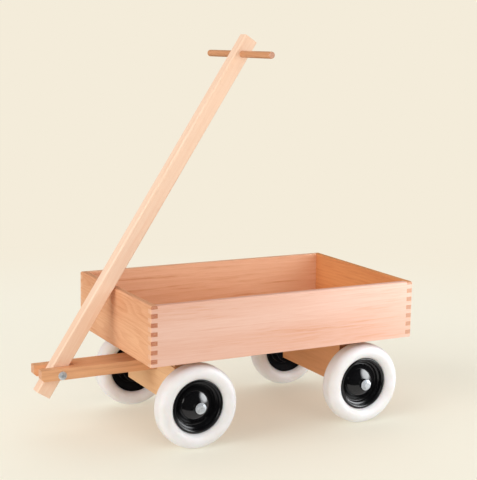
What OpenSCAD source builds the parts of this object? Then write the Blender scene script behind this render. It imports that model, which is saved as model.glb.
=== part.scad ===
// Wooden play wagon: an open finger-jointed box on four wheels, with a front axle that
// steers on a kingpin and a pull handle that leans back against the box.
//
// +X is forward, +Y is the wagon's left and +Z is up. The origin is on the ground, at the
// middle of the plan view, with the handle leaning back.

/* [Box] */
// Outside length of the box
box_length = 556; // [500:1:640]
// Outside width of the box
box_width = 350; // [346:1:400]
// Height of the four boards
board_height = 110; // [100:1:160]
// Thickness of the four boards
board_thickness = 13; // [11:0.5:16]
// Height of one finger of the corner joints
finger_height = 8.2; // [6:0.1:12]
// Height of the lowest finger, which is on the side boards
lowest_finger = 6; // [4:0.5:10]
// Rounding of the box's upright corners
corner_radius = 3; // [1:0.5:6]
// Bevel along the outside of the rim
rim_bevel = 2.5; // [1:0.25:4]
// Thickness of the floor panel
floor_thickness = 6; // [4:0.5:9]
// Height cut away above the tongue along the floor panel's edges
panel_rebate = 2; // [1:0.5:3]
// Height of the floor panel's underside above the boards' lower edges
floor_recess = 6; // [4:0.5:12]
// Depth of the groove that holds the floor panel
groove_depth = 5; // [3:0.5:7]

/* [Wheels] */
// Outside diameter of the tyres
tyre_diameter = 157; // [150:1:160]
// Width of the tyres
tyre_width = 41; // [36:1:42]
// Height of the tyre's section, from the seat on the hub to the tread
tyre_section = 28; // [26:1:32]
// Distance between the middle planes of the left and right wheels
wheel_track = 294.6; // [290:0.1:300]
// Distance between the front and rear axles
wheel_base = 357; // [300:1:400]
// Distance of the front axle behind the box's front face
front_setback = 101.5; // [95:0.5:130]
// Gap between the tyres and the lower edge of the box
wheel_gap = 10; // [8:0.5:20]

/* [Axle blocks] */
// Thickness of the axle blocks and the bolster, along the wagon
block_thickness = 50; // [44:1:60]
// Length of the axle blocks and the bolster, across the wagon
block_length = 220; // [200:1:224]
// Wood below the axle's centre line
block_below_axle = 10.5; // [9:0.5:16]
// Gap between the bolster and the steering block
swivel_gap = 2; // [1.5:0.25:4]

/* [Drawbar] */
// Width of the drawbar
drawbar_width = 60; // [54:1:66]
// Thickness of the drawbar
drawbar_thickness = 21; // [20:0.5:28]
// Depth of the drawbar's top below the lower edge of the box
drawbar_drop = 25.5; // [22:0.5:32]
// Length of the drawbar ahead of the box
drawbar_reach = 150.3; // [140:0.1:170]
// Width of the open slot at the drawbar's front
fork_gap = 26; // [26:0.2:30]
// Depth of the slot behind the handle's pivot
fork_depth = 29; // [29:0.5:34]
// Size of the corner cut off under the drawbar's tip
tip_chamfer = 5; // [2:0.5:10]

/* [Handle] */
// Distance of the handle's pivot ahead of the box
pivot_reach = 110.4; // [108:0.2:116]
// Depth of the pivot below the drawbar's top
pivot_drop = 12.8; // [12:0.1:14.5]
// Angle that the handle leans back from upright
handle_lean = 32.85; // [32:0.05:33]
// Width of the handle bar, seen from the side
bar_width = 29; // [26:0.5:29]
// Thickness of the handle bar, across the wagon
bar_thickness = 25; // [18:0.5:25]
// Distance of the pivot hole behind the middle of the bar
pivot_offset = 5; // [4:0.25:5]
// Length of the bar above the pivot
bar_above = 723; // [600:1:760]
// Length of the bar below the pivot
bar_below = 49; // [44:1:52]
// Rounding of the bar's long edges
bar_rounding = 3; // [1:0.5:5]
// Diameter of the crossbar
crossbar_diameter = 13; // [12:0.5:18]
// Length of the crossbar
crossbar_length = 255; // [180:1:280]
// Distance of the crossbar below the bar's top
crossbar_inset = 35; // [25:1:60]

/* [Fasteners] */
// Diameter of the axle screws and the handle's pivot bolt
axle_diameter = 8; // [8:0.5:9]
// Diameter of the kingpin
kingpin_diameter = 10; // [10:0.5:12]
// Radial clearance of each pin that something turns on
running_clearance = 0.06; // [0.03:0.01:0.1]
// End play on each side of a turning part
end_play = 0.3; // [0.2:0.05:0.6]

/* [Hidden] */
$fn = 72;
cut = 1;

// Heights
axle_z = tyre_diameter / 2;
box_z = tyre_diameter + wheel_gap;
floor_z = box_z + floor_recess;
floor_top = floor_z + floor_thickness;
drawbar_top = box_z - drawbar_drop;
block_bottom = axle_z - block_below_axle;
bolster_bottom = drawbar_top + swivel_gap;
drawbar_bottom = drawbar_top - drawbar_thickness;
pivot_z = drawbar_top - pivot_drop;

// Places along the wagon, with X = 0 at the middle of its whole length
tail_reach = pivot_reach + bar_below * sin(handle_lean)
    + (pivot_offset + bar_width / 2) * cos(handle_lean);
nose_reach = max(drawbar_reach, tail_reach);
box_front = (box_length - nose_reach) / 2;
box_x = box_front - box_length / 2;
front_x = box_front - front_setback;
rear_x = front_x - wheel_base;
pivot_x = box_front + pivot_reach;
drawbar_back = front_x - block_thickness / 2;

// Box details
inside_length = box_length - 2 * board_thickness;
inside_width = box_width - 2 * board_thickness;
finger_count = ceil((board_height - lowest_finger) / (2 * finger_height));
panel_play = 0.5;

// Distances along each axle, outwards from the wagon's middle plane
wheel_mid = wheel_track / 2;
boss_in = 15.9;
boss_out = 21;
washer_thickness = 1.6;
inner_washer_out = wheel_mid - boss_in - end_play;
spacer_out = inner_washer_out - washer_thickness;
outer_washer_in = wheel_mid + boss_out + end_play;
screw_head_in = outer_washer_in + washer_thickness;
screw_head_height = 4.6;
screw_depth = 58;
screw_tip = block_length / 2 - screw_depth;

// Wheel details, as radii and as distances from the wheel's middle plane
hub_bore = axle_diameter / 2 + running_clearance;
boss_radius = 10.5;
flange_radius = tyre_diameter / 2 - tyre_section;
seat_radius = flange_radius - 3.5;
flange_half = 11.9;
seat_half = 9;
dome_foot = flange_radius - 16;
dome_foot_level = -2;
dome_radius = 43;
dome_steps = 14;
web_thickness = 3.5;

// The hub's face outside its dome, as [distance in from the flange, level]: a groove, a
// step, a steep wall and the flange's rounded top
rim_face = [
    [14.5, -4], [12, -4], [10, 1.2], [9.2, 2], [7.8, 2.2], [6.9, 3.2],
    [6.2, 10.2], [4.5, flange_half], [1.6, flange_half], [0, 10.6]
];
// The flange's inner side, in the same way
rim_back = [[0, -flange_half], [1.5, -flange_half], [3, -10.5], [7.5, -9]];

// Wood screws, as [distance along the wagon, distance across it] from a block's middle
block_screw_spots = [for (x = [-14, 14], y = [-80, 80]) [x, y]];
drawbar_screw_spots = [for (x = [-16, 16], y = [-20, 20]) [x, y]];
bolster_screw_length = 28;
rear_screw_length = 45;
drawbar_screw_length = 44;
drawbar_screw_top = drawbar_top - 0.1;
screw_radius = 2.25;
screw_head_radius = 4.5;
screw_cone = 2.8;

// Other fasteners
fixed_fit = 0.03;
washer_radius = 10.5;
spacer_radius = 9;
swivel_washer_radius = 22;
axle_head_flats = 13;
kingpin_head = [21, 4.6, 1];
kingpin_pocket = 5;
kingpin_washer_radius = 12;
kingpin_washer_thickness = 2;
kingpin_nut_flats = 17;
kingpin_nut_height = 8;
kingpin_washer_z = block_bottom - end_play - kingpin_washer_thickness;
kingpin_nut_z = kingpin_washer_z - kingpin_nut_height;
kingpin_head_z = floor_z - kingpin_pocket;
bolt_head = [16, 3.4, 0.8];
bolt_socket_flats = 5;
nut_barrel = 9.5;
bolt_end_gap = 0.5;

SIDES = [["left", 1], ["right", -1]];

// ---- Helpers -------------------------------------------------------------------------

// A rectangle about the origin with round corners
module rounded_rectangle(size, radius) {
    square([size.x - 2 * radius, size.y], center = true);
    square([size.x, size.y - 2 * radius], center = true);
    for (x = [-1, 1], y = [-1, 1])
        translate([x * (size.x / 2 - radius), y * (size.y / 2 - radius)]) circle(radius);
}

// A ring or tube about Z that starts at z = 0
module ring(outer_radius, inner_radius, height) {
    difference() {
        cylinder(r = outer_radius, h = height);
        translate([0, 0, -cut]) cylinder(r = inner_radius, h = height + 2 * cut);
    }
}

// A domed bolt head on z = 0. Its size is [diameter, height, height of its upright edge].
module domed_head(size) {
    rise = size.y - size.z;
    sphere_radius = (pow(size.x / 2, 2) + pow(rise, 2)) / (2 * rise);
    intersection() {
        cylinder(d = size.x, h = size.y + cut);
        translate([0, 0, size.y - sphere_radius]) sphere(sphere_radius, $fn = 144);
    }
}

// A hexagon about Z that starts at z = 0, with its size across the flats
module hexagon(across_flats, height) {
    cylinder(d = across_flats / cos(30), h = height, $fn = 6);
}

// A countersunk wood screw that points down, with the top of its head at z = 0
module wood_screw(length) {
    point = 5;
    recess_length = 4.6;
    recess_width = 0.9;
    recess_depth = 1.3;
    difference() {
        union() {
            translate([0, 0, -screw_cone])
                cylinder(r1 = screw_radius, r2 = screw_head_radius, h = screw_cone);
            translate([0, 0, point - length])
                cylinder(r = screw_radius, h = length - point - screw_cone);
            translate([0, 0, -length]) cylinder(r1 = 0.4, r2 = screw_radius, h = point);
        }
        for (angle = [0, 90])
            rotate([0, 0, angle])
                translate([-recess_length / 2, -recess_width / 2, -recess_depth])
                    cube([recess_length, recess_width, recess_depth + cut]);
    }
}

// The hole that such a screw leaves in the pieces that it joins
module screw_hole(length) {
    spare = 0.5;
    translate([0, 0, -length - spare])
        cylinder(r = screw_radius + fixed_fit, h = length + spare - screw_cone / 2);
    translate([0, 0, -screw_cone])
        cylinder(r1 = screw_radius + fixed_fit, r2 = screw_head_radius + fixed_fit,
                 h = screw_cone);
    cylinder(r = screw_head_radius + fixed_fit, h = cut);
}

// Its children at each spot round a point
module at_spots(spots, x, z) {
    for (spot = spots) translate([x + spot.x, spot.y, z]) children();
}

// Its children with Z laid along an axle, outwards from the wagon's middle plane
module on_axle(x, side) {
    translate([x, 0, axle_z]) rotate([-90 * side, 0, 0]) children();
}

// Its children with Z along the handle bar and X across its width, from the pivot
module on_handle() {
    translate([pivot_x, 0, pivot_z]) rotate([0, -handle_lean, 0]) children();
}

// ---- Box -----------------------------------------------------------------------------

// Lowest height of one of the front or rear board's fingers, above the box's lower edge
function finger_foot(i) = lowest_finger + 2 * finger_height * i;

// The outer shape that all four boards are trimmed to
module box_envelope() {
    spread = 5;
    translate([box_x, 0, box_z]) intersection() {
        translate([0, 0, -cut])
            linear_extrude(board_height + 2 * cut)
                rounded_rectangle([box_length, box_width], corner_radius);
        rotate([90, 0, 0])
            linear_extrude(box_width + 4 * cut, center = true)
                polygon(rim_outline(box_length / 2, spread, 0));
        rotate([90, 0, 90])
            linear_extrude(box_length + 4 * cut, center = true)
                polygon(rim_outline(box_width / 2, spread, cut));
    }
}

// A section through the envelope: it reaches past the sides by spread and past the rim by
// above, and keeps the bevel in its place
function rim_outline(half, spread, above) = [
    [-half - spread, 0],
    [half + spread, 0],
    [half + spread, board_height - rim_bevel - spread],
    [half - rim_bevel - above, board_height + above],
    [-half + rim_bevel + above, board_height + above],
    [-half - spread, board_height - rim_bevel - spread]
];

// The fingers of the front or rear board at both of its ends, about the box's front face
module end_fingers(overlap) {
    for (i = [0 : finger_count - 1], side = [-1, 1]) {
        foot = finger_foot(i);
        top = i == finger_count - 1 ? board_height + cut : foot + finger_height;
        translate([0, side * (box_width - board_thickness) / 2, 0])
            translate([-board_thickness, -board_thickness / 2 - overlap, foot])
                cube([board_thickness + cut, board_thickness + 2 * overlap, top - foot]);
    }
}

// A plate at the floor panel's underside that reaches past the box's inside by margin
module floor_plate(margin, thickness) {
    length = inside_length + 2 * margin;
    width = inside_width + 2 * margin;
    translate([box_x - length / 2, -width / 2, floor_z]) cube([length, width, thickness]);
}

// The grooves that hold the panel's tongue
module floor_grooves() floor_plate(groove_depth, floor_thickness - panel_rebate);

// The board across the box's front or rear
module end_board(end) {
    color("burlywood") difference() {
        intersection() {
            translate([box_x, 0, box_z]) facing(end)
                translate([box_length / 2, 0, 0]) union() {
                    translate([-board_thickness, -inside_width / 2, -cut])
                        cube([board_thickness + cut, inside_width, board_height + 2 * cut]);
                    end_fingers(cut);
                }
            box_envelope();
        }
        floor_grooves();
    }
}

// Its children as they are for the front, and turned half round about Z for the rear
module facing(end) {
    rotate([0, 0, end > 0 ? 0 : 180]) children();
}

module front_board() end_board(1);
module rear_board() end_board(-1);

// The long board on one side of the box
module side_board(side) {
    inner = inside_width / 2;
    outer = box_width / 2 + cut;
    color("navajowhite") difference() {
        intersection() {
            translate([box_x, side * (inner + outer) / 2, box_z + board_height / 2])
                cube([box_length + 2 * cut, outer - inner, board_height + 2 * cut],
                     center = true);
            box_envelope();
        }
        translate([box_x, 0, box_z])
            for (end = [1, -1])
                facing(end) translate([box_length / 2, 0, 0]) end_fingers(cut);
        floor_grooves();
    }
}

module left_side_board() side_board(1);
module right_side_board() side_board(-1);

// The floor, with a thinner tongue all round that sits in the boards' grooves
module floor_panel() {
    color("wheat") difference() {
        union() {
            floor_plate(-panel_play, floor_thickness);
            floor_plate(groove_depth - panel_play, floor_thickness - panel_rebate);
        }
        at_spots(block_screw_spots, front_x, floor_top) screw_hole(bolster_screw_length);
        at_spots(block_screw_spots, rear_x, floor_top) screw_hole(rear_screw_length);
    }
}

// ---- Axle blocks ---------------------------------------------------------------------

// A beam across the wagon at x, from one height to another
module beam(x, bottom, top) {
    translate([x - block_thickness / 2, -block_length / 2, bottom])
        cube([block_thickness, block_length, top - bottom]);
}

// The holes that the two axle screws leave in a block's ends
module axle_holes(x) {
    spare = 2;
    for (side = [-1, 1])
        on_axle(x, side) translate([0, 0, screw_tip - spare])
            cylinder(r = axle_diameter / 2 + fixed_fit, h = block_length);
}

module rear_axle_block() {
    color("peru") difference() {
        beam(rear_x, block_bottom, floor_z);
        axle_holes(rear_x);
        at_spots(block_screw_spots, rear_x, floor_top) screw_hole(rear_screw_length);
    }
}

module rear_block_screws() {
    color("silver") at_spots(block_screw_spots, rear_x, floor_top)
        wood_screw(rear_screw_length);
}

// The fixed beam under the floor that the front axle swivels on. The kingpin's head lies in
// a pocket in its top.
module front_bolster() {
    color("peru") difference() {
        beam(front_x, bolster_bottom, floor_z);
        at_spots(block_screw_spots, front_x, floor_top) screw_hole(bolster_screw_length);
        translate([front_x, 0, bolster_bottom - cut])
            cylinder(r = kingpin_diameter / 2 + fixed_fit, h = board_height);
        translate([front_x, 0, kingpin_head_z])
            cylinder(r = kingpin_head.x / 2 + 0.1, h = kingpin_pocket + cut);
    }
}

module bolster_screws() {
    color("silver") at_spots(block_screw_spots, front_x, floor_top)
        wood_screw(bolster_screw_length);
}

module swivel_washer() {
    color("gray")
        translate([front_x, 0, drawbar_top + end_play])
            ring(swivel_washer_radius, kingpin_diameter / 2 + fixed_fit, swivel_gap - end_play);
}

// The steering beam: it holds the front wheels, and the drawbar lies in its notch
module front_axle_block() {
    color("tan") difference() {
        beam(front_x, block_bottom, drawbar_top);
        translate([front_x - block_thickness, -drawbar_width / 2, drawbar_bottom])
            cube([2 * block_thickness, drawbar_width, drawbar_thickness + cut]);
        translate([front_x, 0, block_bottom - cut])
            cylinder(r = kingpin_diameter / 2 + running_clearance, h = board_height);
        axle_holes(front_x);
        drawbar_screw_holes();
    }
}

// ---- Kingpin -------------------------------------------------------------------------

// A domed bolt from the bolster's pocket down through the swivelling parts
module kingpin() {
    point = 1;
    past_nut = 3;
    overlap = 0.5;
    end_z = kingpin_nut_z - past_nut;
    color("silver") {
        translate([front_x, 0, kingpin_head_z]) domed_head(kingpin_head);
        translate([front_x, 0, end_z]) {
            translate([0, 0, point])
                cylinder(d = kingpin_diameter, h = kingpin_head_z - end_z - point + overlap);
            cylinder(d1 = kingpin_diameter - 2 * point, d2 = kingpin_diameter, h = point);
        }
    }
}

module kingpin_washer() {
    color("silver") translate([front_x, 0, kingpin_washer_z])
        ring(kingpin_washer_radius, kingpin_diameter / 2 + fixed_fit,
             kingpin_washer_thickness);
}

module kingpin_nut() {
    color("silver") translate([front_x, 0, kingpin_nut_z]) difference() {
        hexagon(kingpin_nut_flats, kingpin_nut_height);
        translate([0, 0, -cut])
            cylinder(r = kingpin_diameter / 2 + fixed_fit, h = kingpin_nut_height + 2 * cut);
    }
}

// ---- Drawbar and handle --------------------------------------------------------------

module drawbar() {
    tip = box_front + drawbar_reach;
    color("peru") difference() {
        rotate([90, 0, 0])
            linear_extrude(drawbar_width, center = true)
                polygon([
                    [drawbar_back, drawbar_bottom],
                    [tip - tip_chamfer, drawbar_bottom],
                    [tip, drawbar_bottom + tip_chamfer],
                    [tip, drawbar_top],
                    [drawbar_back, drawbar_top]
                ]);
        translate([pivot_x - fork_depth, -fork_gap / 2, drawbar_bottom - cut])
            cube([drawbar_reach, fork_gap, drawbar_thickness + 2 * cut]);
        translate([pivot_x, 0, pivot_z]) rotate([90, 0, 0])
            cylinder(r = axle_diameter / 2 + fixed_fit, h = 2 * drawbar_width, center = true);
        translate([front_x, 0, drawbar_bottom - cut])
            cylinder(r = kingpin_diameter / 2 + running_clearance,
                     h = drawbar_thickness + 2 * cut);
        drawbar_screw_holes();
    }
}

// The holes of the screws that join the drawbar to the front axle block
module drawbar_screw_holes() {
    at_spots(drawbar_screw_spots, front_x, drawbar_screw_top) screw_hole(drawbar_screw_length);
}

module drawbar_screws() {
    color("silver") at_spots(drawbar_screw_spots, front_x, drawbar_screw_top)
        wood_screw(drawbar_screw_length);
}

// A domed head with a hex socket on z = 0, and its shank or barrel below
module socket_head(shank) {
    socket_floor = 1;
    overlap = 0.5;
    difference() {
        union() {
            domed_head(bolt_head);
            translate([0, 0, -shank]) cylinder(d = axle_diameter, h = shank + overlap);
        }
        translate([0, 0, socket_floor]) hexagon(bolt_socket_flats, bolt_head.y);
    }
}

// A domed furniture bolt through the drawbar's ears and the handle, from the left
module pivot_bolt() {
    color("silver") translate([pivot_x, drawbar_width / 2, pivot_z]) rotate([-90, 0, 0])
        socket_head(drawbar_width - nut_barrel - bolt_end_gap);
}

// The capped nut that takes the bolt's end, in the drawbar's right ear
module pivot_nut() {
    color("silver") translate([pivot_x, -drawbar_width / 2, pivot_z]) rotate([90, 0, 0])
        socket_head(nut_barrel);
}

module handle_bar() {
    color("bisque") on_handle() difference() {
        translate([pivot_offset, 0, -bar_below])
            linear_extrude(bar_above + bar_below)
                rounded_rectangle([bar_width, bar_thickness], bar_rounding);
        rotate([90, 0, 0])
            cylinder(r = axle_diameter / 2 + running_clearance, h = 2 * bar_thickness,
                     center = true);
        translate([pivot_offset, 0, bar_above - crossbar_inset]) rotate([90, 0, 0])
            cylinder(r = crossbar_diameter / 2 + fixed_fit, h = 2 * bar_thickness,
                     center = true);
    }
}

// The grip: a dowel with softly rounded ends
module crossbar() {
    rounding = 4;
    radius = crossbar_diameter / 2;
    half = crossbar_length / 2;
    color("tan") on_handle() translate([pivot_offset, 0, bar_above - crossbar_inset])
        rotate([90, 0, 0]) {
            cylinder(r = radius, h = crossbar_length - 2 * rounding, center = true);
            for (turn = [0, 180])
                rotate([turn, 0, 0]) translate([0, 0, half - rounding])
                    rotate_extrude() intersection() {
                        square([radius, rounding]);
                        union() {
                            translate([radius - rounding, 0]) circle(rounding);
                            square([radius - rounding, rounding]);
                        }
                    }
        }
}

// ---- Wheels --------------------------------------------------------------------------

// The tyre's section beside the axis, about the wheel's middle plane
module tyre_section_shape() {
    shoulder = tyre_section / 2;
    spread = tyre_width / 2 - shoulder;
    difference() {
        translate([tyre_diameter / 2 - shoulder, 0]) {
            for (side = [-1, 1]) translate([0, side * spread]) circle(shoulder);
            square([tyre_section, 2 * spread], center = true);
        }
        square([2 * flange_radius, 2 * flange_half + 0.2], center = true);
    }
    translate([seat_radius, -seat_half]) square([flange_radius - seat_radius + 1, 2 * seat_half]);
}

module tyre(x, side) {
    color("ivory") on_axle(x, side) translate([0, 0, wheel_mid])
        rotate_extrude($fn = 144) tyre_section_shape();
}

// Level of the web's domed face, at a distance from the axis
function dome_level(r) = dome_foot_level
    + sqrt(pow(dome_radius, 2) - pow(r, 2)) - sqrt(pow(dome_radius, 2) - pow(dome_foot, 2));

// The hub's section beside the axis: a boss, a domed web and a stepped rim
module hub_section_shape() {
    radii = [for (i = [0 : dome_steps])
        boss_radius + (dome_foot - boss_radius) * i / dome_steps];
    polygon(concat(
        [[hub_bore, -boss_in], [hub_bore, boss_out], [boss_radius, boss_out]],
        [for (r = radii) [r, dome_level(r)]],
        [for (p = rim_face) [flange_radius - p.x, p.y]],
        [
            [flange_radius, seat_half],
            [seat_radius, seat_half],
            [seat_radius, -seat_half],
            [flange_radius, -seat_half]
        ],
        [for (p = rim_back) [flange_radius - p.x, p.y]],
        [for (i = [dome_steps : -1 : 0]) [radii[i], dome_level(radii[i]) - web_thickness]],
        [[boss_radius, -boss_in]]
    ));
}

module hub(x, side) {
    color("black") on_axle(x, side) translate([0, 0, wheel_mid])
        rotate_extrude($fn = 144) hub_section_shape();
}

// A hex-headed coach screw that the wheel turns on. A cone trims its head's corners.
module axle_screw(x, side) {
    point = 7;
    overlap = 0.5;
    color("silver") on_axle(x, side) {
        translate([0, 0, screw_head_in]) intersection() {
            hexagon(axle_head_flats, screw_head_height);
            cylinder(d1 = 2 * axle_head_flats, d2 = axle_head_flats - 0.6,
                     h = screw_head_height + 0.01);
        }
        translate([0, 0, screw_tip + point])
            cylinder(d = axle_diameter, h = screw_head_in - screw_tip - point + overlap);
        translate([0, 0, screw_tip]) cylinder(r1 = 1, r2 = axle_diameter / 2, h = point);
    }
}

module outer_washer(x, side) {
    color("silver") on_axle(x, side) translate([0, 0, outer_washer_in])
        ring(washer_radius, axle_diameter / 2 + fixed_fit, washer_thickness);
}

module inner_washer(x, side) {
    color("silver") on_axle(x, side) translate([0, 0, spacer_out])
        ring(washer_radius, axle_diameter / 2 + fixed_fit, washer_thickness);
}

// The sleeve that keeps the wheel clear of the block
module spacer(x, side) {
    color("dimgray") on_axle(x, side) translate([0, 0, block_length / 2])
        ring(spacer_radius, axle_diameter / 2 + fixed_fit, spacer_out - block_length / 2);
}

// ---- Nodes ---------------------------------------------------------------------------

front_board();
rear_board();
left_side_board();
right_side_board();
floor_panel();
rear_axle_block();
rear_block_screws();
front_bolster();
bolster_screws();
swivel_washer();
kingpin();
kingpin_washer();
kingpin_nut();
front_axle_block();
drawbar();
drawbar_screws();
pivot_bolt();
pivot_nut();
handle_bar();
crossbar();

// Four wheels: each one's tyre, hub, axle screw, washers and spacer
for (end = [["front", front_x], ["rear", rear_x]], side = SIDES) {
    wheel = str(end[0], "_", side[0], "_");
    tyre(end[1], side[1]);
    hub(end[1], side[1]);
    axle_screw(end[1], side[1]);
    outer_washer(end[1], side[1]);
    inner_washer(end[1], side[1]);
    spacer(end[1], side[1]);
}
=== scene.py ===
"""Looks of the wooden play wagon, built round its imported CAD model.

Every length is in metres, in the frame of the CAD model: +X is forward, +Y the wagon's
left and +Z up, with the origin on the ground.
"""

import math

import bpy
from mathutils import Euler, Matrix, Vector


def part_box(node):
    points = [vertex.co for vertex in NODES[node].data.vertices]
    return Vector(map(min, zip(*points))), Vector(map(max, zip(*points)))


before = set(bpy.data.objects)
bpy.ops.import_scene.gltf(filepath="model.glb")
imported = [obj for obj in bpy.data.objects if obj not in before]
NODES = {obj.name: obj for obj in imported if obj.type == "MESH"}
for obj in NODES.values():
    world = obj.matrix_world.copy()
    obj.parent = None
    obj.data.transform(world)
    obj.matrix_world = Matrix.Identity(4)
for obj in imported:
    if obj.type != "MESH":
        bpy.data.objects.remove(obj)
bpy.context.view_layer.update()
CORNERS = ("front_left", "front_right", "rear_left", "rear_right")
MM = 0.001


# ---- Colours -------------------------------------------------------------------------


def srgb(red, green, blue):
    """A linear colour from 8-bit sRGB values."""

    def linear(value):
        value /= 255
        return value / 12.92 if value <= 0.04045 else ((value + 0.055) / 1.055) ** 2.4

    return (linear(red), linear(green), linear(blue), 1.0)


# ---- Node helpers --------------------------------------------------------------------


# The Mix node's sockets for colours: its sockets for other kinds share their names
MIX_COLOUR_INPUTS = (0, 6, 7)
MIX_COLOUR_OUTPUT = 2


class Shader:
    """A material's node tree, with short calls to add and join nodes."""

    def __init__(self, name):
        self.material = bpy.data.materials.new(name)
        self.material.use_nodes = True
        self.tree = self.material.node_tree
        self.tree.nodes.clear()
        self.output = self.tree.nodes.new("ShaderNodeOutputMaterial")
        self.surface = self.add("ShaderNodeBsdfPrincipled")
        self.join(self.surface.outputs[0], self.output.inputs["Surface"])

    def add(self, kind, inputs=None, **settings):
        """A new node: inputs are sockets or values by socket name, settings its own."""
        node = self.tree.nodes.new(kind)
        for key, value in settings.items():
            setattr(node, key, value)
        for key, value in (inputs or {}).items():
            self.put(value, node.inputs[key])
        return node

    def join(self, source, target):
        self.tree.links.new(source, target)

    def put(self, value, target):
        """Joins an output socket to target, or sets target to a plain value."""
        if isinstance(value, bpy.types.NodeSocket):
            self.join(value, target)
        else:
            target.default_value = value

    def math(self, operation, *values, clamp=False):
        node = self.add("ShaderNodeMath", operation=operation, use_clamp=clamp)
        for value, socket in zip(values, node.inputs):
            self.put(value, socket)
        return node.outputs[0]

    def vector(self, operation, *values):
        node = self.add("ShaderNodeVectorMath", operation=operation)
        for value, socket in zip(values, node.inputs):
            self.put(value, socket)
        result = "Value" if operation in ("DOT_PRODUCT", "LENGTH") else "Vector"
        return node.outputs[result]

    def spread(self, value, low, high, to_low=0.0, to_high=1.0):
        """Value mapped smoothly from low..high to to_low..to_high."""
        inputs = {
            "Value": value,
            "From Min": low,
            "From Max": high,
            "To Min": to_low,
            "To Max": to_high,
        }
        node = self.add(
            "ShaderNodeMapRange", inputs, interpolation_type="SMOOTHSTEP", clamp=True
        )
        return node.outputs["Result"]

    def mix(self, share, first, second):
        """Two colours mixed by share."""
        node = self.add("ShaderNodeMix", data_type="RGBA")
        for value, socket in zip((share, first, second), MIX_COLOUR_INPUTS):
            self.put(value, node.inputs[socket])
        return node.outputs[MIX_COLOUR_OUTPUT]

    def noise(self, where, scale, detail=3.0, roughness=0.5, distortion=0.0):
        inputs = {
            "Vector": where,
            "Scale": scale,
            "Detail": detail,
            "Roughness": roughness,
            "Distortion": distortion,
        }
        return self.add("ShaderNodeTexNoise", inputs).outputs["Fac"]

    def bump(self, height, distance, strength):
        inputs = {"Height": height, "Distance": distance, "Strength": strength}
        return self.add("ShaderNodeBump", inputs).outputs["Normal"]

    def place(self):
        """Position on the object, in metres."""
        return self.add("ShaderNodeTexCoord").outputs["Object"]

    def finish(self, **inputs):
        """Sets the surface's own inputs, with _ for a space in a name."""
        for key, value in inputs.items():
            self.put(value, self.surface.inputs[key.replace("_", " ")])
        return self.material


# ---- Materials -----------------------------------------------------------------------


# How fine each part of the wood's grain is: along the grain, then the two ways across it
RINGS_DRAWN_OUT = (0.16, 1.0, 1.0)
STRAND_SCALE = (28.0, 900.0, 900.0)
FLECK_SCALE = (190.0, 1300.0, 1300.0)
TONE_SCALE = (2.2, 14.0, 14.0)
STREAK_SCALE = (7.0, 170.0, 170.0)
END_GRAIN_SCALE = (60.0, 160.0, 620.0)

# Heights of the surface textures
WOOD_RELIEF = 0.05 * MM
PLYWOOD_RELIEF = 0.08 * MM
TYRE_RELIEF = 0.04 * MM
HUB_RELIEF = 0.06 * MM
NYLON_RELIEF = 0.05 * MM
ZINC_RELIEF = 0.03 * MM


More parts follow.
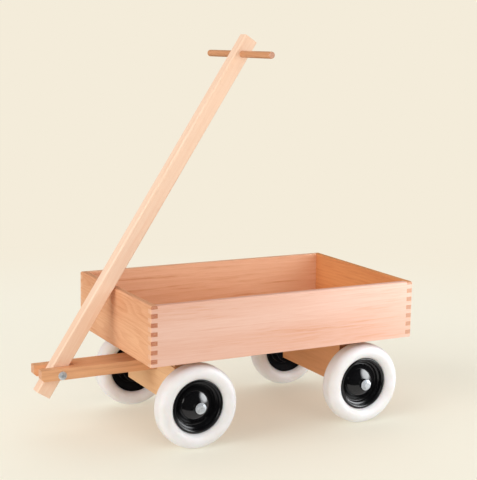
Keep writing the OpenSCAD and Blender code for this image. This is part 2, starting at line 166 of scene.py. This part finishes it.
def wood(
    name, pale, dark, end_tone, along, pith, rings=95.0, contrast=0.3, swirl=0.05, streaky=0.4
):
    """Lacquered solid beech.

    along is the grain's direction and pith a point on the tree's centre line, which sets
    whether the rings show as straight lines, arches or swirls. rings is the number of
    growth rings in a metre, swirl how far they wander, and streaky how dark the thin
    streaks between them are.
    """
    s = Shader(name)
    turn = Vector(along).rotation_difference(Vector((1, 0, 0))).to_euler()
    inputs = {"Vector": s.vector("SUBTRACT", s.place(), pith), "Rotation": turn}
    grain = s.add("ShaderNodeMapping", inputs).outputs["Vector"]

    # Growth rings round the pith, drawn out along the grain and slightly wandering
    drawn = s.vector("MULTIPLY", grain, RINGS_DRAWN_OUT)
    wander = s.add(
        "ShaderNodeTexNoise", {"Vector": drawn, "Scale": 9.0, "Detail": 2.0}
    ).outputs["Color"]
    shift = s.vector("SUBTRACT", wander, (0.5, 0.5, 0.5))
    bent = s.vector("ADD", drawn, s.vector("MULTIPLY", shift, (0.0, swirl, swirl)))
    radius = s.vector("LENGTH", s.vector("MULTIPLY", bent, (0.0, 1.0, 1.0)))
    phase = s.math("FRACT", s.math("MULTIPLY", radius, rings))
    late_wood = s.math(
        "MULTIPLY", s.spread(phase, 0.1, 0.93), s.spread(phase, 1.0, 0.92)
    )

    # Pores and rays: fine dashes along the grain
    strands = s.noise(s.vector("MULTIPLY", grain, STRAND_SCALE), 1.0, 3.0, 0.6)
    dashes = s.noise(s.vector("MULTIPLY", grain, FLECK_SCALE), 1.0, 1.0)
    flecks = s.spread(dashes, 0.66, 0.76)

    # Broad uneven tone, as heart and sap wood differ, and long thin dark streaks
    tone = s.noise(s.vector("MULTIPLY", grain, TONE_SCALE), 1.0, 2.0, 0.55)
    lines = s.noise(s.vector("MULTIPLY", grain, STREAK_SCALE), 1.0, 3.0, 0.65)

    depth = s.math("MULTIPLY", late_wood, contrast)
    depth = s.math("ADD", depth, s.spread(lines, 0.5, 0.75, 0.0, streaky))
    depth = s.math("ADD", depth, s.spread(tone, 0.3, 0.75, 0.0, 0.4))
    depth = s.math("ADD", depth, s.spread(strands, 0.3, 0.7, -0.08, 0.12), clamp=True)
    colour = s.mix(depth, pale, dark)
    colour = s.mix(s.math("MULTIPLY", flecks, 0.16), colour, dark)

    # End grain soaks up more finish, so it is darker and redder
    normal = s.add("ShaderNodeTexCoord").outputs["Normal"]
    facing = s.math("ABSOLUTE", s.vector("DOT_PRODUCT", normal, Vector(along)))
    end_share = s.spread(facing, 0.45, 0.7)
    streaks = s.noise(s.vector("MULTIPLY", grain, END_GRAIN_SCALE), 1.0, 2.0)
    streaks = s.spread(streaks, 0.3, 0.7, 0.62, 1.0)
    colour = s.mix(s.math("MULTIPLY", end_share, streaks), colour, end_tone)

    rough = s.math("ADD", 0.42, s.spread(strands, 0.3, 0.7, -0.05, 0.08))
    rough = s.math("ADD", rough, s.math("MULTIPLY", end_share, 0.15))
    height = s.math("ADD", s.math("MULTIPLY", strands, 0.5), late_wood)
    height = s.math("SUBTRACT", height, s.math("MULTIPLY", flecks, 0.8))
    return s.finish(
        Base_Color=colour,
        Roughness=rough,
        Normal=s.bump(height, WOOD_RELIEF, 0.5),
        Specular_IOR_Level=0.35,
        Coat_Weight=0.24,
        Coat_Roughness=0.25,
    )


def plywood(name, face, layer):
    """Lacquered plywood with a plain face veneer and darker layers at its edges."""
    s = Shader(name)
    place = s.place()
    strands = s.noise(s.vector("MULTIPLY", place, (14.0, 420.0, 60.0)), 1.0, 4.0, 0.6)
    tone = s.noise(s.vector("MULTIPLY", place, (3.0, 16.0, 1.0)), 1.0, 3.0, 0.6, 0.6)
    share = s.math("ADD", s.spread(tone, 0.3, 0.7, 0.0, 0.5), s.spread(strands, 0.3, 0.7, 0, 0.3))
    colour = s.mix(share, face, layer)
    height = s.math("MULTIPLY", strands, 0.5)
    return s.finish(Base_Color=colour, Roughness=0.48, Normal=s.bump(height, PLYWOOD_RELIEF, 0.6))


def tyre_rubber(name, colour, shade):
    """Smooth off-white rubber with a little handling grime."""
    s = Shader(name)
    place = s.place()
    cloud = s.noise(place, 22.0, 4.0, 0.6)
    grain = s.noise(place, 1500.0, 2.0)
    tint = s.mix(s.spread(cloud, 0.35, 0.8, 0.0, 0.6), colour, shade)
    rough = s.spread(cloud, 0.3, 0.7, 0.5, 0.62)
    return s.finish(
        Base_Color=tint,
        Roughness=rough,
        Normal=s.bump(grain, TYRE_RELIEF, 0.5),
        Subsurface_Weight=0.12,
        Subsurface_Scale=0.004,
        Specular_IOR_Level=0.35,
    )


def gloss_plastic(name, colour):
    """Polished moulded plastic with faint waviness and dust."""
    s = Shader(name)
    place = s.place()
    wave = s.noise(place, 40.0, 2.0)
    dust = s.spread(s.noise(place, 900.0, 3.0, 0.7), 0.62, 0.8)
    rough = s.math("ADD", s.spread(wave, 0.3, 0.7, 0.07, 0.12), s.math("MULTIPLY", dust, 0.15))
    tint = s.mix(s.math("MULTIPLY", dust, 0.25), colour, srgb(60, 60, 62))
    return s.finish(
        Base_Color=tint,
        Roughness=rough,
        Normal=s.bump(wave, HUB_RELIEF, 0.25),
        Specular_IOR_Level=0.5,
    )


def matt_plastic(name, colour):
    """Dull nylon with a fine moulded texture."""
    s = Shader(name)
    grain = s.noise(s.place(), 2200.0, 2.0)
    tint = s.mix(s.spread(grain, 0.3, 0.7), colour, srgb(48, 48, 50))
    return s.finish(Base_Color=tint, Roughness=0.55, Normal=s.bump(grain, NYLON_RELIEF, 0.5))


def zinc_steel(name, colour, shade):
    """Bright zinc-plated steel with uneven plating and light scratches."""
    s = Shader(name)
    place = s.place()
    cloud = s.noise(place, 260.0, 4.0, 0.65)
    scratch = s.noise(s.vector("MULTIPLY", place, (400.0, 5000.0, 1100.0)), 1.0, 2.0)
    tint = s.mix(s.spread(cloud, 0.35, 0.7), colour, shade)
    scuffed = s.spread(scratch, 0.4, 0.7, 0, 0.08)
    rough = s.math("ADD", s.spread(cloud, 0.3, 0.7, 0.2, 0.34), scuffed)
    return s.finish(
        Base_Color=tint,
        Metallic=0.35,
        Roughness=rough,
        Normal=s.bump(scratch, ZINC_RELIEF, 0.35),
    )


# ---- The wagon's finishes ------------------------------------------------------------


def handle_direction():
    """The handle bar's own direction, from the crossbar's and the pivot bolt's places."""
    grip = sum(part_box("crossbar"), Vector()) / 2
    pivot = sum(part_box("pivot_bolt"), Vector()) / 2
    lean = grip - pivot
    return Vector((lean.x, 0.0, lean.z)).normalized()


def assign(material, *names):
    """Gives CAD nodes a material."""
    for name in names:
        mesh = NODES[name].data
        mesh.materials.clear()
        mesh.materials.append(material)


def dress_wood():
    side = dict(end_tone=srgb(232, 184, 150), along=(1, 0, 0))
    # The near side board's paler, pinker tone is partly its own wood and partly painted sheen: the
    # window's whitish reflection is put into its colour.
    left = wood(
        "beech_left_side",
        pale=srgb(234, 193, 176),
        dark=srgb(216, 150, 116),
        pith=(0.0, 0.26, 0.05),
        rings=150.0,
        contrast=0.08,
        **side,
    )
    assign(left, "left_side_board")
    right = wood(
        "beech_right_side",
        pale=srgb(240, 190, 154),
        dark=srgb(208, 134, 88),
        pith=(0.1, -0.29, 0.11),
        rings=105.0,
        contrast=0.12,
        streaky=0.6,
        **side,
    )
    assign(right, "right_side_board")
    front = wood(
        "beech_front",
        pale=srgb(240, 188, 148),
        dark=srgb(205, 134, 93),
        end_tone=srgb(182, 110, 80),
        along=(0, 1, 0),
        pith=(0.26, -0.05, 0.235),
        rings=190.0,
        contrast=0.22,
        swirl=0.16,
    )
    assign(front, "front_board")
    # The rear board's darker, more orange tone is partly its own wood and partly painted shade:
    # only its inner face shows, and it lies in the box's shade.
    rear = wood(
        "beech_rear",
        pale=srgb(225, 157, 101),
        dark=srgb(192, 111, 62),
        end_tone=srgb(196, 146, 120),
        along=(0, 1, 0),
        pith=(-0.41, 0.1, 0.16),
        rings=140.0,
        contrast=0.16,
    )
    assign(rear, "rear_board")
    tan = wood(
        "beech_front_blocks",
        pale=srgb(245, 202, 156),
        dark=srgb(212, 158, 115),
        end_tone=srgb(196, 138, 99),
        along=(0, 1, 0),
        pith=(0.05, 0.0, -0.06),
        contrast=0.08,
        streaky=0.25,
    )
    assign(tan, "front_axle_block", "front_bolster")
    # The rear axle block's browner tone and dark end tone are painted shade, the shadow of the box
    # above it, on a darker copy of the tan block wood.
    shaded_brown = wood(
        "beech_rear_block",
        pale=srgb(246, 184, 132),
        dark=srgb(210, 140, 94),
        end_tone=srgb(158, 98, 64),
        along=(0, 1, 0),
        pith=(-0.3, 0.0, -0.06),
        contrast=0.08,
        streaky=0.25,
    )
    assign(shaded_brown, "rear_axle_block")
    bar = wood(
        "beech_drawbar",
        pale=srgb(238, 182, 136),
        dark=srgb(200, 134, 94),
        end_tone=srgb(222, 172, 140),
        along=(1, 0, 0),
        pith=(0.0, 0.05, 0.02),
        contrast=0.12,
    )
    assign(bar, "drawbar")
    # The handle's very pale, pink tone is partly its own wood and partly painted highlight: the
    # bright sheen on its upper part is put into its colour.
    handle = wood(
        "beech_handle",
        pale=srgb(252, 222, 199),
        dark=srgb(236, 188, 153),
        end_tone=srgb(214, 164, 130),
        along=handle_direction(),
        pith=(0.2, 0.09, 0.1),
        contrast=0.1,
        streaky=0.25,
    )
    assign(handle, "handle_bar")
    grip = wood(
        "beech_dowel",
        pale=srgb(223, 168, 126),
        dark=srgb(192, 128, 88),
        end_tone=srgb(206, 160, 140),
        along=(0, 1, 0),
        pith=(-0.12, 0.0, 0.66),
        contrast=0.3,
    )
    assign(grip, "crossbar")
    assign(plywood("plywood_floor", srgb(226, 178, 134), srgb(190, 130, 88)), "floor_panel")


def dress_fittings():
    white = tyre_rubber("white_tyre", srgb(233, 233, 237), srgb(221, 215, 210))
    black = gloss_plastic("black_hub", srgb(18, 18, 20))
    steel = zinc_steel("zinc", srgb(214, 219, 224), srgb(176, 182, 190))
    nylon = matt_plastic("nylon", srgb(30, 30, 31))
    for corner in CORNERS:
        assign(white, corner + "_tyre")
        assign(black, corner + "_hub")
        assign(nylon, corner + "_spacer")
        for part in ("axle_screw", "outer_washer", "inner_washer"):
            assign(steel, f"{corner}_{part}")
    assign(nylon, "swivel_washer")
    assign(
        steel,
        "rear_block_screws",
        "bolster_screws",
        "drawbar_screws",
        "kingpin",
        "kingpin_washer",
        "kingpin_nut",
        "pivot_bolt",
        "pivot_nut",
    )


# Only edges sharper than the first angle, in degrees, are rounded. Faces within the second
# of one plane are joined, and so are points closer than the gap.
SHARP_EDGE = 32.0
SAME_PLANE = 0.5
SAME_POINT = 0.01 * MM


def soften(name, width, segments=2, flat=False):
    """Rounds a CAD node's sharp edges for the eye, without touching its own mesh.

    A flat part keeps flat shading, as smooth shading puts streaks on its long faces.
    """
    node = NODES[name]
    mesh = node.data
    if flat:
        mesh.shade_flat()
    else:
        mesh.shade_smooth()
    weld = node.modifiers.new("Join split corners", "WELD")
    weld.merge_threshold = SAME_POINT
    clean = node.modifiers.new("Join flat faces", "DECIMATE")
    clean.decimate_type = "DISSOLVE"
    clean.angle_limit = math.radians(SAME_PLANE)
    bevel = node.modifiers.new("Round edges", "BEVEL")
    bevel.width = width
    bevel.segments = segments
    bevel.limit_method = "ANGLE"
    bevel.angle_limit = math.radians(SHARP_EDGE)
    bevel.harden_normals = not flat
    bevel.use_clamp_overlap = True


def soften_all():
    for board in ("front_board", "rear_board", "left_side_board", "right_side_board"):
        soften(board, 0.4 * MM, flat=True)
    soften("drawbar", 1.5 * MM, 3, flat=True)
    soften("handle_bar", 1.0 * MM, 3, flat=True)
    for block in ("front_axle_block", "rear_axle_block", "front_bolster"):
        soften(block, 1.2 * MM, 3, flat=True)
    for part in ("kingpin_nut", "kingpin_washer", "pivot_bolt", "pivot_nut"):
        soften(part, 0.25 * MM)
    for corner in CORNERS:
        soften(corner + "_hub", 0.5 * MM, 3)
        soften(corner + "_tyre", 0.5 * MM)
        for part in ("axle_screw", "outer_washer", "inner_washer", "spacer"):
            soften(f"{corner}_{part}", 0.25 * MM)


# ---- Studio --------------------------------------------------------------------------

# The camera stands ahead of the wagon's left side: its place, the angle of its sight
# line round Z from +X, its height above the horizon, its tilt about the sight line, all
# three in degrees, and its lens and sensor in millimetres.
CAMERA_PLACE = (1.0125, 2.0210, 0.7326)
CAMERA_AZIMUTH = 62.014
CAMERA_ELEVATION = 9.48
CAMERA_ROLL = 0.919
CAMERA_LENS = 89.07
CAMERA_SENSOR = 36.0

# The floor is lit out to the first distance from its middle, and only glows past the
# second. The glow is its share of the near floor's light.
FLOOR_LIT_TO = 1.0
FLOOR_GLOWS_FROM = 2.0
FLOOR_GLOW = 0.36

# The studio is a round room, of this radius and number of sides
ROOM_RADIUS = 7.0
ROOM_STEPS = 64

# The disc that gloss sees in place of the window light: its brightness, the share of its
# radius over which it is even before it fades, and its radius over the light's size
WINDOW_GLOSS = 13.0
WINDOW_EVEN = 0.3
WINDOW_REACH = 0.7


def direction(azimuth, elevation):
    """A unit vector: azimuth is round Z from +X and elevation above level, in degrees."""
    around, up = math.radians(azimuth), math.radians(elevation)
    return Vector((math.cos(around) * math.cos(up), math.sin(around) * math.cos(up), math.sin(up)))


def aim(thing, target):
    """Turns a light or camera so that it looks at target."""
    thing.rotation_mode = "QUATERNION"
    thing.rotation_quaternion = (Vector(target) - thing.location).to_track_quat("-Z", "Y")


def spare(light, *things):
    """Keeps a light, or a glowing card, off some objects."""
    group = bpy.data.collections.new("not lit by " + light.name)
    for thing in things:
        group.objects.link(thing)
    light.light_linking.receiver_collection = group
    for link in group.collection_objects:
        link.light_linking.link_state = "EXCLUDE"


def softbox(name, place, target, size, power, colour, floor):
    """A round soft light for everything but the floor.

    Gloss doesn't see the light itself: it sees a brighter disc in the same place. The
    slim handle doesn't mirror that, as it would only glitter.
    """
    data = bpy.data.lights.new(name, "AREA")
    data.shape = "DISK"
    data.size = size
    data.energy = power
    data.color = colour
    light = bpy.data.objects.new(name, data)
    bpy.context.scene.collection.objects.link(light)
    light.location = place
    aim(light, target)
    light.visible_glossy = False
    spare(light, floor)

    half = WINDOW_REACH * size
    corners = [(-half, -half, 0.0), (half, -half, 0.0), (half, half, 0.0), (-half, half, 0.0)]
    disc = glow_card(name + "_disc", corners, colour + (1.0,), WINDOW_GLOSS, half)
    disc.location = place
    aim(disc, target)
    spare(disc, NODES["handle_bar"], NODES["crossbar"])


def glow_paint(name, colour, strength_of):
    """A material that only glows. strength_of gives its strength from its shader."""
    s = Shader(name)
    return s.finish(
        Base_Color=srgb(0, 0, 0),
        Specular_IOR_Level=0.0,
        Emission_Color=colour,
        Emission_Strength=strength_of(s),
    )


def hide_from(thing, *kinds):
    """Makes a thing unseen by some kinds of rays."""
    for kind in kinds:
        setattr(thing, "visible_" + kind, False)


def glow_card(name, corners, colour, strength, radius=None):
    """A flat glowing card that only reflections see. A radius makes it a disc that fades.

    Only the disc is sampled as a lamp is, as it is the smallest and brightest card.
    """
    mesh = bpy.data.meshes.new(name)
    mesh.from_pydata(corners, [], [range(len(corners))])
    card = bpy.data.objects.new(name, mesh)
    bpy.context.scene.collection.objects.link(card)
    hide_from(card, "camera", "diffuse", "transmission", "volume_scatter", "shadow")

    def fading(s):
        from_middle = s.vector("LENGTH", s.place())
        return s.spread(from_middle, WINDOW_EVEN * radius, radius, strength, 0.0)

    paint = glow_paint(name, colour, fading if radius else lambda s: strength)
    paint.cycles.emission_sampling = "FRONT_BACK" if radius else "NONE"
    mesh.materials.append(paint)
    return card


def soft_sun(name, azimuth, elevation, width, power, colour, in_gloss=False):
    """Even light from one side. width is its apparent size, in degrees."""
    data = bpy.data.lights.new(name, "SUN")
    data.angle = math.radians(width)
    data.energy = power
    data.color = colour
    light = bpy.data.objects.new(name, data)
    bpy.context.scene.collection.objects.link(light)
    light.location = direction(azimuth, elevation)
    aim(light, (0.0, 0.0, 0.0))
    light.visible_glossy = in_gloss


def room_ring(height):
    """Points round the room's rim."""
    turns = [2 * math.pi * i / ROOM_STEPS for i in range(ROOM_STEPS)]
    return [(ROOM_RADIUS * math.cos(a), ROOM_RADIUS * math.sin(a), height) for a in turns]


def make_floor(colour, lit_colour):
    """A pale seamless floor, with a backdrop of its colour that only the camera sees.

    Near the wagon the floor is half lit by the lights, so that it takes soft shadows, and
    further out it glows evenly in the backdrop's tone.
    """
    mesh = bpy.data.meshes.new("floor")
    mesh.from_pydata(room_ring(0.0), [], [range(ROOM_STEPS)])
    floor = bpy.data.objects.new("floor", mesh)
    bpy.context.scene.collection.objects.link(floor)
    hide_from(floor, "glossy")
    s = Shader("floor_paper")
    place = s.place()
    grain = s.noise(place, 300.0, 3.0)
    tint = s.mix(s.spread(grain, 0.3, 0.7, 0.0, 0.04), lit_colour, srgb(206, 196, 176))
    far = s.spread(s.vector("LENGTH", place), FLOOR_LIT_TO, FLOOR_GLOWS_FROM)
    glow = s.math("ADD", FLOOR_GLOW, s.math("MULTIPLY", far, 1 - FLOOR_GLOW))
    paper = s.finish(
        Base_Color=s.mix(far, tint, srgb(0, 0, 0)),
        Roughness=1.0,
        Specular_IOR_Level=0.0,
        Emission_Color=colour,
        Emission_Strength=glow,
    )
    paper.cycles.emission_sampling = "NONE"
    mesh.materials.append(paper)
    make_backdrop(colour)
    return floor


def make_backdrop(colour):
    """A round wall at the floor's rim, in one even tone from every side."""
    foot = -0.01
    following = [(i + 1) % ROOM_STEPS for i in range(ROOM_STEPS)]
    faces = [(i, j, j + ROOM_STEPS, i + ROOM_STEPS) for i, j in enumerate(following)]
    mesh = bpy.data.meshes.new("backdrop")
    mesh.from_pydata(room_ring(foot) + room_ring(ROOM_RADIUS), [], faces)
    wall = bpy.data.objects.new("backdrop", mesh)
    bpy.context.scene.collection.objects.link(wall)
    hide_from(wall, "diffuse", "glossy", "transmission", "volume_scatter", "shadow")
    paper = glow_paint("backdrop_paper", colour, lambda s: 1.0)
    paper.cycles.emission_sampling = "NONE"
    mesh.materials.append(paper)


def make_reflector(colour, strength):
    """The lit floor as the glossy hubs show it: a low card that only reflections see."""
    height = 0.5 * MM
    left = [(0.6, 0.175), (-0.16, 0.347), (-0.45, 0.5), (-0.9, 1.0)]
    right = [(x, -y) for x, y in reversed(left)]
    glow_card("floor_reflector", [(x, y, height) for x, y in left + right], colour, strength)


def make_flags():
    """Black cards inside the wheels, which keep the window out of the hubs' inner sides."""
    front, rear, low, high, out = 0.3, -0.5, 0.001, 0.165, 0.118
    outline = [(front, low), (rear, low), (rear, high), (front, high)]
    for side, name in ((1, "left_flag"), (-1, "right_flag")):
        corners = [(x, side * out, z) for x, z in outline]
        glow_card(name, corners, srgb(0, 0, 0), 0.0)


def make_camera():
    data = bpy.data.cameras.new("camera")
    data.lens = CAMERA_LENS
    data.sensor_width = CAMERA_SENSOR
    camera = bpy.data.objects.new("camera", data)
    bpy.context.scene.collection.objects.link(camera)
    back = direction(CAMERA_AZIMUTH, CAMERA_ELEVATION)
    camera.location = CAMERA_PLACE
    camera.rotation_mode = "QUATERNION"
    turn = (-back).to_track_quat("-Z", "Y")
    roll = Euler((0, 0, math.radians(CAMERA_ROLL))).to_quaternion()
    camera.rotation_quaternion = turn @ roll
    bpy.context.scene.camera = camera


def make_world(colour, strength):
    """Even light from all round that doesn't show in gloss."""
    world = bpy.data.worlds.new("studio")
    world.use_nodes = True
    background = world.node_tree.nodes["Background"]
    background.inputs["Color"].default_value = colour
    background.inputs["Strength"].default_value = strength
    world.cycles_visibility.glossy = False
    bpy.context.scene.world = world


def make_lights(floor):
    """A window behind and to the wagon's left, the sky, a weak fill and light from ahead."""
    softbox(
        "window",
        place=(-1.05, 0.77, 0.5),
        target=(-0.05, 0.17, 0.2),
        size=1.1,
        power=7.8,
        colour=(0.96, 0.98, 1.0),
        floor=floor,
    )
    soft_sun("sky", -120.0, 68.0, width=80.0, power=1.15, colour=(1.0, 0.98, 0.95))
    soft_sun("fill", 75.0, 25.0, width=60.0, power=0.8, colour=(1.0, 0.99, 0.98))
    soft_sun(
        "front", 10.0, 20.0, width=50.0, power=1.74, colour=(1.0, 0.97, 0.94), in_gloss=True
    )


bpy.context.scene.view_settings.view_transform = "Standard"
make_camera()
dress_wood()
dress_fittings()
soften_all()
make_reflector(srgb(244, 240, 236), 0.9)
make_flags()
make_world(srgb(243, 238, 232), 0.30)
make_lights(make_floor(srgb(244, 236, 218), srgb(210, 210, 200)))
